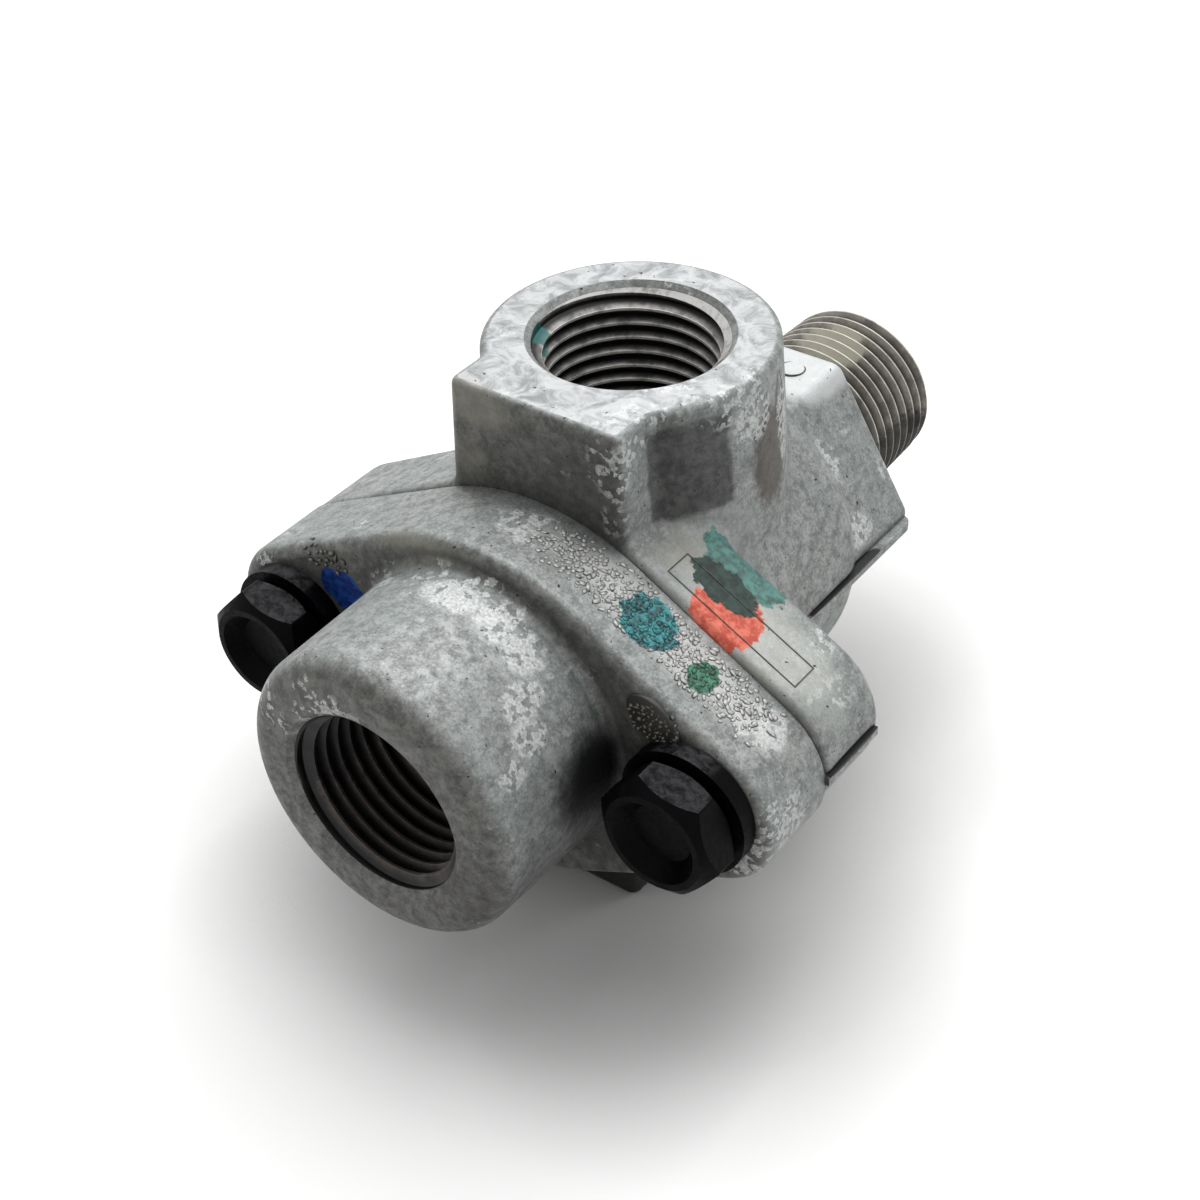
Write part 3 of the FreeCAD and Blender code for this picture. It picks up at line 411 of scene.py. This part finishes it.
def thread_sleeve(name, crest, root, back, start, finish, crest_flat, shape, matrix, material):
    """A closed sleeve with a right-hand thread on one side and a plain cylinder on the other.

    The function in shape gives each point's final radius and its rise, from 0 at a root to 1 at a crest.
    """
    # The profile goes once round and climbs by one pitch, so that each turn meets the next
    bm = bmesh.new()
    profile = thread_profile(crest, root, start, finish, crest_flat)
    points = [bm.verts.new((radius, 0, place)) for radius, place in profile]
    wire = [bm.edges.new(pair) for pair in zip(points, points[1:])]
    bmesh.ops.spin(bm, geom=points + wire, cent=(0, 0, 0), axis=(0, 0, 1), angle=FULL_TURN,
                   dvec=(0, 0, PITCH / THREAD_STEPS), steps=THREAD_STEPS, use_merge=False,
                   use_duplicate=False)
    bmesh.ops.remove_doubles(bm, verts=bm.verts, dist=0.0005)
    for level, clear_low in ((start, True), (finish, False)):
        bmesh.ops.bisect_plane(bm, geom=bm.verts[:] + bm.edges[:] + bm.faces[:], dist=0.0001,
                               plane_co=(0, 0, level), plane_no=(0, 0, 1),
                               clear_inner=clear_low, clear_outer=not clear_low)
    rise = bm.verts.layers.float.new("rise")
    for vert in bm.verts:
        radius = math.hypot(vert.co.x, vert.co.y)
        shaped, vert[rise] = shape(radius, vert.co.z, (radius - root) / (crest - root))
        vert.co.x *= shaped / radius
        vert.co.y *= shaped / radius
    # The plain cylinder closes the sleeve
    close_by = 0.001
    rims = []
    for level in (start, finish):
        rim = [edge for edge in bm.edges if edge.is_boundary
               and all(abs(vert.co.z - level) < close_by for vert in edge.verts)]
        ring = bmesh.ops.create_circle(bm, segments=THREAD_STEPS, radius=back,
                                       matrix=Matrix.Translation((0, 0, level)))
        circle = list({edge for vert in ring["verts"] for edge in vert.link_edges})
        bmesh.ops.bridge_loops(bm, edges=rim + circle)
        rims.append(circle)
    bmesh.ops.bridge_loops(bm, edges=rims[0] + rims[1])
    bmesh.ops.transform(bm, matrix=matrix @ Matrix.Scale(MM, 4), verts=bm.verts)
    finished(bm, name, material)


def port_thread(name, matrix, material):
    """Female thread from a port's bevel down: it tapers inwards and fades out at its end."""
    def shape(radius, depth, rise):
        radius -= TAPER * depth
        bevel = PORT_WALL + PORT_BEVEL - depth
        if bevel > radius:
            radius = bevel
            rise = 1.0
        fade = min(1.0, max(0.0, (PORT_THREAD_LENGTH - depth) / PITCH))
        return min(PORT_FADED, PORT_FADED - (PORT_FADED - radius) * fade), rise
    thread_sleeve(name, PORT_CREST, PORT_ROOT, PORT_BACK, PORT_BEVEL, PORT_THREAD_LENGTH,
                  PORT_CREST_FLAT, shape, matrix, material)


def nipple_thread(name, matrix, material):
    """Male thread from the nipple's end towards the hexagon, where it runs out on a plain neck."""
    length = NIPPLE_END - HEX_END

    def shape(radius, depth, rise):
        crest = NIPPLE_CREST + TAPER * depth
        radius = radius + TAPER * depth
        run_out = min(1.0, max(0.0, (depth - (length - 2 * NECK_LENGTH)) / NECK_LENGTH))
        radius = radius + (crest - NECK_DEPTH - radius) * run_out
        rise = rise + (NECK_RISE - rise) * run_out
        return min(radius, NIPPLE_CREST - NIPPLE_BEVEL + depth), rise
    thread_sleeve(name, NIPPLE_CREST, NIPPLE_ROOT, NIPPLE_BACK, NIPPLE_END_GAP,
                  length - NIPPLE_END_GAP, NIPPLE_CREST_FLAT, shape, matrix, material)


# Cast relief, set on the castings by rays
def surface_of(node):
    """The node's surface, to set relief on."""
    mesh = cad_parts[node].data
    places = [vert.co for vert in mesh.vertices]
    return BVHTree.FromPolygons(places, [face.vertices[:] for face in mesh.polygons])


def seat(surface, place, aim):
    """Where a ray from a place in millimetres meets a surface, and the surface's direction there."""
    return surface.ray_cast(Vector(place) * MM, Vector(aim))[:2]


def grit(name, surface, spots, aim, widths, height, material, seed):
    """Small flattened crumbs half sunk in a surface at the spots that a list gives, in millimetres."""
    lengths = (0.9, 2.1)
    lifts = (0.7, 1.2)
    uneven = 0.3
    draw = random.Random(seed)
    bm = bmesh.new()
    rise = bm.verts.layers.float.new("rise")
    for spot in spots:
        hit, normal = seat(surface, spot, aim)
        if hit is None:
            continue
        across = draw.uniform(*widths)
        along = across * draw.uniform(*lengths)
        upright = normal.to_track_quat("Z", "Y").to_matrix().to_4x4()
        turn = upright @ Matrix.Rotation(draw.uniform(0, FULL_TURN), 4, "Z")
        crumb = bmesh.ops.create_icosphere(bm, subdivisions=1, radius=1.0)["verts"]
        for vert in crumb:
            vert[rise] = max(0.0, vert.co.z)
            vert.co += Vector([draw.uniform(-uneven, uneven) for side in "xyz"])
        lift = height * draw.uniform(*lifts)
        shape = Matrix.Diagonal((across * MM / 2, along * MM / 2, lift * MM, 1))
        bmesh.ops.transform(bm, matrix=Matrix.Translation(hit) @ turn @ shape, verts=crumb)
    finished(bm, name, material, 180)


def rim_spots(seed):
    """Scattered places on the cover's upper right rim, dense in a band about the dabs of paint."""
    count = 420
    spacing = 0.3
    band_width = 2.2
    draw = random.Random(seed)
    spots = []
    while len(spots) < count:
        x = draw.triangular(2.0, 25.0, 15.0)
        y = draw.uniform(-19.6, -14.4)
        band_middle = -17.6 + 0.04 * (x - 5)
        keep = math.exp(-((y - band_middle) / band_width) ** 2)
        crowded = any(abs(x - other[0]) < spacing and abs(y - other[1]) < spacing for other in spots)
        if draw.random() < keep and not crowded:
            spots.append((x, y, DELIVERY_FACE))
    return spots


def patch_spots(seed, count, centre, half_sizes, spacing):
    """Scattered places in an oval before the cover's front."""
    most_tries = 4000
    before_front = COVER_FRONT - 10
    draw = random.Random(seed)
    spots = []
    tries = 0
    while len(spots) < count and tries < most_tries:
        tries += 1
        angle = draw.uniform(0, FULL_TURN)
        reach = math.sqrt(draw.random())
        x = centre[0] + half_sizes[0] * reach * math.cos(angle)
        z = centre[1] + half_sizes[1] * reach * math.sin(angle)
        if all(math.hypot(x - other[0], z - other[2]) > spacing for other in spots):
            spots.append((x, before_front, z))
    return spots


def oval_pad(name, centre, half_sizes, lean, height, material):
    """Low raised oval on the cover's front, with a bevelled rim."""
    # A low rise, so that the grain's painted shade darkens the whole pad
    shade_rise = 0.34
    bevel = 0.12
    bm = bmesh.new()
    rise = bm.verts.layers.float.new("rise")
    bmesh.ops.create_cone(bm, cap_ends=True, segments=40, radius1=1.0, radius2=1.0, depth=1.0)
    for vert in bm.verts:
        vert[rise] = shade_rise
    rim = [edge for edge in bm.edges if all(vert.co.z > 0 for vert in edge.verts)]
    matrix = (Matrix.Translation((centre[0] * MM, COVER_FRONT * MM, centre[1] * MM))
              @ Matrix.Rotation(math.radians(lean), 4, "Y") @ Matrix.Rotation(QUARTER_TURN, 4, "X")
              @ Matrix.Diagonal((half_sizes[0] * MM, half_sizes[1] * MM, 2 * height * MM, 1)))
    bmesh.ops.transform(bm, matrix=matrix, verts=bm.verts)
    bmesh.ops.bevel(bm, geom=rim, offset=bevel * MM, offset_type="OFFSET", segments=2, profile=0.5,
                    affect="EDGES", material=-1)
    finished(bm, name, material, 50)


def flank_frame(name, near, far, width, thickness, material):
    """Thin dark rectangle scribed on the body's right flank: four bars half sunk in it."""
    surface = surface_of("valve_body")
    ends = ((near[0], near[1]), (far[0], near[1]), (far[0], far[1]), (near[0], far[1]))
    seats = [seat(surface, (x, y, DELIVERY_FACE), DOWN) for x, y in ends]
    places = [hit for hit, normal in seats]
    outwards = seats[-1][1]
    bm = bmesh.new()
    for start, finish in zip(places, places[1:] + places[:1]):
        run = finish - start
        side = outwards.cross(run).normalized()
        turn = Matrix((run.normalized(), side, outwards)).transposed().to_4x4()
        size = Matrix.Diagonal((run.length + width * MM, width * MM, thickness * MM, 1))
        bar = bmesh.ops.create_cube(bm, size=1.0)["verts"]
        matrix = Matrix.Translation((start + finish) / 2) @ turn @ size
        bmesh.ops.transform(bm, matrix=matrix, verts=bar)
    finished(bm, name, material)


def ring_mark(name, centre, radius, thickness, lean, material):
    """Ring left by an ejector pin on the hexagon's top flat; one side of it sinks into the metal."""
    bm = bmesh.new()
    upright = Matrix.Translation((radius, 0, 0)) @ Matrix.Rotation(QUARTER_TURN, 4, "X")
    section = bmesh.ops.create_circle(bm, segments=10, radius=thickness, matrix=upright)["verts"]
    bmesh.ops.spin(bm, geom=section + bm.edges[:], cent=(0, 0, 0), axis=(0, 0, 1), angle=FULL_TURN,
                   steps=48, use_merge=True, use_duplicate=False)
    matrix = (Matrix.Translation([value * MM for value in centre])
              @ Matrix.Rotation(math.radians(lean), 4, "X") @ Matrix.Scale(MM, 4))
    bmesh.ops.transform(bm, matrix=matrix, verts=bm.verts)
    finished(bm, name, material, 180)


# Stains and painted shade: colour, centre, half sizes, strength and softness, with places in millimetres
BODY_STAINS_AND_SHADE = (
    ("#dfe2e2", (4.0, 18.5, HEX_TOP - 0.2), (8.5, 4.5, 1.6), 0.78, 0.5),
    ("#b9bcba", (14.5, -8.5, 36.8), (6.0, 6.5, 4.5), 0.5, 0.9),
    ("#43392f", (13.1, 1.6, 42.0), (2.0, 3.0, 4.6), 0.85, 0.5),
    ("#2c2a2a", (12.2, 3.9, 46.0), (1.6, 1.5, 2.6), 0.7, 0.4),
    ("#a9a699", (-6.0, -13.9, 48.8), (3.6, 1.5, 2.0), 0.5, 0.9),
    ("#8d8a80", (-7.4, -13.9, 43.4), (2.2, 1.0, 2.4), 0.45, 0.9),
    ("#2a2826", (4.5, -13.9, 44.0), (4.5, 1.0, 4.0), 0.35, 1.2),
    ("#a7a69a", (9.5, -9.5, 37.6), (3.5, 4.0, 1.8), 0.6, 0.7),
    ("#dadcd4", (20.0, -10.8, 32.6), (8.5, 3.4, 6.0), 0.5, 0.9),
    # Painted shadow on the foot under the body
    ("#14110f", (9.0, -12.0, 4.0), (9.0, 6.5, 6.5), 0.92, 0.5),
)
COVER_STAINS_AND_SHADE = (
    # Painted dark reflection and shadow beside the right screw
    ("#07080b", (13.7, -25.4, 26.3), (3.0, 4.4, 4.4), 0.97, 0.9),
    # Painted shade on the lower right of the cover's boss
    ("#20201f", (11.5, -24.0, 17.5), (4.0, 4.5, 5.0), 0.6, 0.9),
    ("#a39f92", (-9.0, -22.3, 40.0), (7.0, 1.0, 1.5), 0.4, 0.8),
    ("#e2e3e0", (14.5, -17.0, 36.0), (12.5, 2.2, 9.5), 0.7, 0.8),
    ("#e9eae6", (4.0, -36.0, 33.8), (3.5, 1.2, 1.5), 0.35, 0.8),
    # Painted shade on the lower right of the cover's boss
    ("#33322f", (11.0, -31.0, 19.0), (5.0, 9.0, 7.0), 0.6, 1.2),
)

# Dark square patch on the boss's side: its darker and its lighter tone, centre, half sizes, strength
BODY_PANELS = (("#2b2b2c", "#525252", (10.9, -7.0, 44.7), (3.4, 3.3, 4.3), 0.85),)

# Zones rubbed bare: centre, half sizes and the flakes' size
BODY_RUBS = (
    ((12.4, 4.6, 44.5), (1.6, 1.6, 4.0), 0.45),
    ((12.6, -0.8, 47.0), (1.4, 2.4, 2.4), 0.35),
    ((11.5, 14.0, 33.5), (2.5, 1.6, 2.5), 0.5),
    ((14.6, 13.5, 27.5), (1.5, 2.5, 1.6), 0.5),
)
COVER_RUBS = (
    ((-0.1, -25.2, 38.9), (2.8, 1.7, 1.5), 1.1),
    ((4.8, -25.0, 37.9), (2.8, 2.2, 1.6), 0.5),
    ((7.4, -25.8, 36.6), (1.9, 2.0, 1.8), 0.6),
    ((9.6, -28.7, 35.0), (1.3, 2.2, 2.0), 0.45),
    ((11.2, -30.2, 33.0), (1.2, 1.7, 1.8), 0.5),
    ((12.0, -33.2, 31.7), (1.0, 1.6, 1.2), 0.4),
    ((2.0, -17.0, 41.4), (3.0, 2.0, 1.5), 0.6),
    ((24.0, -17.0, 30.8), (2.6, 2.2, 2.2), 0.5),
    ((27.0, -19.0, 24.0), (2.0, 2.6, 3.0), 0.4),
)

# Dabs of marking paint: darker and lighter tone, centre, half sizes, turn in degrees and strength
RIGHT_FLANK = (0, 29.3, 0)
LEFT_EAR = (0, 25, 0)
BODY_PAINTS = (
    ("#174f49", "#478b81", (15.7, -6.7, 36.4), (4.4, 2.1, 3.2), RIGHT_FLANK, 0.88),
    ("#c04c37", "#e67a64", (17.3, -11.7, 35.5), (3.1, 3.4, 3.0), RIGHT_FLANK, 1.0),
    ("#12231f", "#28413a", (15.6, -9.5, 36.4), (3.5, 1.8, 3.0), RIGHT_FLANK, 1.0),
)
COVER_PAINTS = (
    ("#0a4a50", "#2d9498", (13.6, -17.1, 36.9), (2.8, 2.4, 3.0), RIGHT_FLANK, 0.95),
    ("#0a4a38", "#2b8563", (18.9, -17.5, 33.8), (1.3, 1.7, 3.0), RIGHT_FLANK, 0.92),
    ("#0c308a", "#2a64c2", (-15.0, COVER_FRONT, AXIS_HEIGHT + 5.8), (2.7, 1.5, 2.0), LEFT_EAR, 1.0),
)

# Painted black shade in the ledge of the parting line: centre and half sizes
LEDGE_HEIGHT = AXIS_HEIGHT - 0.12
BODY_LEDGE_SHADE = (
    ((16.3, 9.2, LEDGE_HEIGHT), (1.4, 6.1, 0.26)),
    ((28.5, -9.9, LEDGE_HEIGHT), (1.0, 4.0, 0.36)),
)

# Smears, specks and painted shade on the threads: colour, centre, half sizes and strength
NIPPLE_MARKS_AND_SHADE = (
    ("#2c2927", (5.0, 24.0, AXIS_HEIGHT), (14.0, 3.2, 14.0), 0.75),
    ("#f4f3ee", (6.1, 31.4, 29.4), (0.5, 0.5, 0.5), 1.0),
    ("#161413", (7.6, 35.8, 24.8), (1.2, 1.3, 1.3), 0.85),
    ("#d2cfc0", (1.0, 32.0, 33.6), (3.6, 3.5, 1.6), 0.7),
    # Painted shade along the nipple's lower right side
    ("#2e2a28", (8.6, 31.0, 22.0), (3.5, 9.0, 5.0), 0.75),
)
DELIVERY_TOUCHES = (("#1f6a66", (-7.9, -2.9, 48.6), (1.3, 1.5, 1.6), 0.8),)
# Painted black shade deep in the supply port
SUPPLY_PORT_SHADE = (("#050404", (-5.0, -32.0, 29.0), (5.5, 12.0, 7.5), 0.9),)

cast_body = die_cast("die_cast_body", BODY_STAINS_AND_SHADE, BODY_PANELS, BODY_RUBS, BODY_PAINTS, BODY_LEDGE_SHADE)
cast_cover = die_cast("die_cast_cover", COVER_STAINS_AND_SHADE, (), COVER_RUBS, COVER_PAINTS, ())
nipple_metal = machined("machined_nipple", light="#a6a29a", dark="#75716b", root="#4a4642",
                        edge="#d2cec3", marks_and_shade=NIPPLE_MARKS_AND_SHADE)
delivery_metal = machined("machined_delivery_port", light="#a5a3a0", dark="#5d5b59", root="#040303",
                          edge="#e2e1de", marks_and_shade=DELIVERY_TOUCHES)
# The supply port's thread is a darker copy of the same metal: painted shade inside the port, which faces
# the front
shaded_supply_metal = machined("machined_supply_port", light="#4a4340", dark="#272220", root="#020202",
                        edge="#6a615b", marks_and_shade=SUPPLY_PORT_SHADE)
black_steel = phosphated("black_phosphated_steel")
pale_grain = cast_grain("rubbed_cast_grain", "#8d8f8b", "#dadbd8", COVER_PAINTS)
# A darker copy of the grain for the cover's front face: painted shade, as that face is turned from the
# light
front_shade_grain = cast_grain("front_shade_cast_grain", "#3f3d39", "#85827a", ())
# Lines scribed in the skin: flat dark grey
scribed = even_finish("scribed_line", "#2d2d2b", "#5e5e5a", size=0.8, roughness=0.6, metallic=0.0,
                      relief=0.02)
# Moulded rubber of the seals: dull black
rubber = even_finish("moulded_rubber", "#141414", "#1d1d1d", size=3.0, roughness=0.6, metallic=0.0,
                     relief=0.03)
# Moulded acetal of the shuttle's guide: milky and waxy
acetal = even_finish("moulded_acetal", "#d8d5ca", "#e2dfd5", size=4.0, roughness=0.4, metallic=0.0,
                     relief=0.02)
# Turned brass of the shuttle: warm yellow with a soft shine
brass = even_finish("turned_brass", "#b08a46", "#c29c58", size=2.0, roughness=0.3, metallic=1.0,
                    relief=0.02)

for material, nodes in (
        (cast_body, ("valve_body",)),
        (cast_cover, ("cover",)),
        (rubber, ("cover_seal_ring", "shuttle_seal_front", "shuttle_seal_rear")),
        (acetal, ("shuttle_guide",)),
        (brass, ("shuttle",)),
        (black_steel, ("cap_screw_left", "cap_screw_right", "lock_washer_left", "lock_washer_right"))):
    for node in nodes:
        wear(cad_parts[node], material)

# Threads: each matrix puts a thread's mouth at its face, running into the port or along the nipple
delivery_mouth = Matrix.Translation((0, 0, DELIVERY_FACE * MM)) @ Matrix.Rotation(math.pi, 4, "X")
supply_mouth = (Matrix.Translation((0, SUPPLY_FACE * MM, AXIS_HEIGHT * MM))
                @ Matrix.Rotation(-QUARTER_TURN, 4, "X"))
nipple_mouth = (Matrix.Translation((0, NIPPLE_END * MM, AXIS_HEIGHT * MM))
                @ Matrix.Rotation(QUARTER_TURN, 4, "X"))
port_thread("delivery_thread", delivery_mouth, delivery_metal)
port_thread("supply_thread", supply_mouth, shaded_supply_metal)
nipple_thread("nipple_thread", nipple_mouth, nipple_metal)

# Relief on the cover's rim, the pad by the right screw and the spot by the left one
PAD_CENTRE = (17.5, 31.9)
LEFT_CENTRE = (-17.0, 33.8)
cover_surface = surface_of("cover")
pad_places = patch_spots(seed=21, count=60, centre=PAD_CENTRE, half_sizes=(2.5, 1.7), spacing=0.36)
left_places = patch_spots(seed=31, count=20, centre=LEFT_CENTRE, half_sizes=(2.8, 1.0), spacing=0.5)
grit("rim_grain", cover_surface, rim_spots(seed=11), aim=DOWN, widths=(0.26, 0.56), height=0.08,
     material=pale_grain, seed=12)
oval_pad("cast_pad", PAD_CENTRE, half_sizes=(2.9, 1.9), lean=38, height=0.2, material=front_shade_grain)
grit("pad_grain", cover_surface, pad_places, aim=INTO_COVER, widths=(0.26, 0.5), height=0.36,
     material=front_shade_grain, seed=22)
grit("left_grain", cover_surface, left_places, aim=INTO_COVER, widths=(0.3, 0.6), height=0.26,
     material=front_shade_grain, seed=32)
flank_frame("flank_frame", near=(12.1, -9.55), far=(24.3, -12.35), width=0.1, thickness=0.08,
            material=scribed)
ring_mark("ejector_mark", (4.6, 18.2, HEX_TOP - 0.01), radius=1.25, thickness=0.09, lean=-4,
          material=scribed)


# Floor and surround: half the floor's side in metres, how far the shadow reaches in millimetres
FLOOR_HALF = 1.5
FLOOR_GLOW = 0.76
SHADOW_REACH = 26.0
WORLD_LIGHT = 0.2
WHITE = srgb("#ffffff")

# The photograph's viewpoint: degrees, millimetres, and where it aims beside the nipple's axis
AZIMUTH = 37.93
ELEVATION = 37.81
ROLL = -2.79
DISTANCE = 195.09
AIM_RIGHT = -3.671
AIM_UP = -2.333
LENS = 64.35
SENSOR = 36


def looked_at(tree):
    """One for what the camera or a reflection sees, nought for the light that is scattered."""
    path = add(tree, "LightPath")
    return add(tree, "Math", 0, LARGER, i0=path.outputs["Is Camera Ray"],
               i1=path.outputs["Is Glossy Ray"])


def make_floor():
    """Pale floor: white to the camera and in reflections, with a painted contact shadow near the valve,
    and a plain grey to the light that it scatters.
    """
    bm = bmesh.new()
    bmesh.ops.create_grid(bm, x_segments=1, y_segments=1, size=FLOOR_HALF)
    mesh = bpy.data.meshes.new("floor")
    bm.to_mesh(mesh)
    bm.free()
    floor = bpy.data.objects.new("floor", mesh)
    bpy.context.scene.collection.objects.link(floor)
    material, tree = new_material("plain_floor")[:2]
    seen = looked_at(tree)
    # The glow fades near the valve: a painted contact shadow, added to the lamps' own
    open_sky = add(tree, "AmbientOcclusion", "AO", {"samples": 2}, Distance=SHADOW_REACH * MM)
    glow = add(tree, "MapRange", "Result", SMOOTH, Value=open_sky, From_Min=0.42, From_Max=0.92,
               To_Max=FLOOR_GLOW)
    seen_glow = add(tree, "Math", 0, PRODUCT, i0=seen, i1=glow)
    tone = add(tree, "Mix", 2, COLOURS, i0=seen, i6=srgb("#b0b0b0"), i7=srgb("#acabaa"))
    surfaced(tree, Base_Color=tone, Roughness=0.7, Specular_IOR_Level=0.2, Emission_Color=WHITE,
             Emission_Strength=seen_glow)
    mesh.materials.append(material)


def area_light(name, place, target, side, power):
    """A square soft light that faces a target, in metres and watts."""
    data = bpy.data.lights.new(name, "AREA")
    data.shape = "SQUARE"
    data.size = side
    data.energy = power
    lamp = bpy.data.objects.new(name, data)
    lamp.location = place
    lamp.rotation_euler = (Vector(target) - Vector(place)).to_track_quat("-Z", "Y").to_euler()
    bpy.context.scene.collection.objects.link(lamp)


def make_camera():
    """Camera at the photograph's viewpoint, turned about the point that it aims at."""
    azimuth, elevation, roll = (math.radians(value) for value in (AZIMUTH, ELEVATION, ROLL))
    back = Vector((math.sin(azimuth) * math.cos(elevation), -math.cos(azimuth) * math.cos(elevation),
                   math.sin(elevation)))
    right = Vector((math.cos(azimuth), math.sin(azimuth), 0))
    up = back.cross(right)
    aim = right * AIM_RIGHT * MM + up * AIM_UP * MM + Vector((0, 0, AXIS_HEIGHT * MM))
    across = right * math.cos(roll) + up * math.sin(roll)
    above = up * math.cos(roll) - right * math.sin(roll)
    data = bpy.data.cameras.new("camera")
    data.lens = LENS
    data.sensor_width = SENSOR
    data.clip_start = 0.01
    camera = bpy.data.objects.new("camera", data)
    turn = Matrix((across, above, back)).transposed().to_4x4()
    camera.matrix_world = Matrix.Translation(aim + back * DISTANCE * MM) @ turn
    bpy.context.scene.collection.objects.link(camera)
    bpy.context.scene.camera = camera


def make_world():
    """Even studio surround: dim as light, white where the camera or a reflection sees it."""
    world = bpy.data.worlds.new("studio")
    bpy.context.scene.world = world
    world.use_nodes = True
    tree = world.node_tree
    tree.nodes.clear()
    strength = add(tree, "MapRange", "Result", None, Value=looked_at(tree), To_Min=WORLD_LIGHT)
    light = add(tree, "Background", 0, None, Color=WHITE, Strength=strength)
    add(tree, "OutputWorld", None, None, Surface=light)


make_floor()
make_world()
make_camera()
valve_middle = (0, 0, AXIS_HEIGHT * MM)
area_light("key", place=(-0.1, 0.18, 0.52), target=valve_middle, side=0.62, power=3.1)
area_light("side", place=(0.5, 0.1, 0.22), target=valve_middle, side=0.35, power=0.3)
bpy.context.scene.view_settings.view_transform = "Standard"
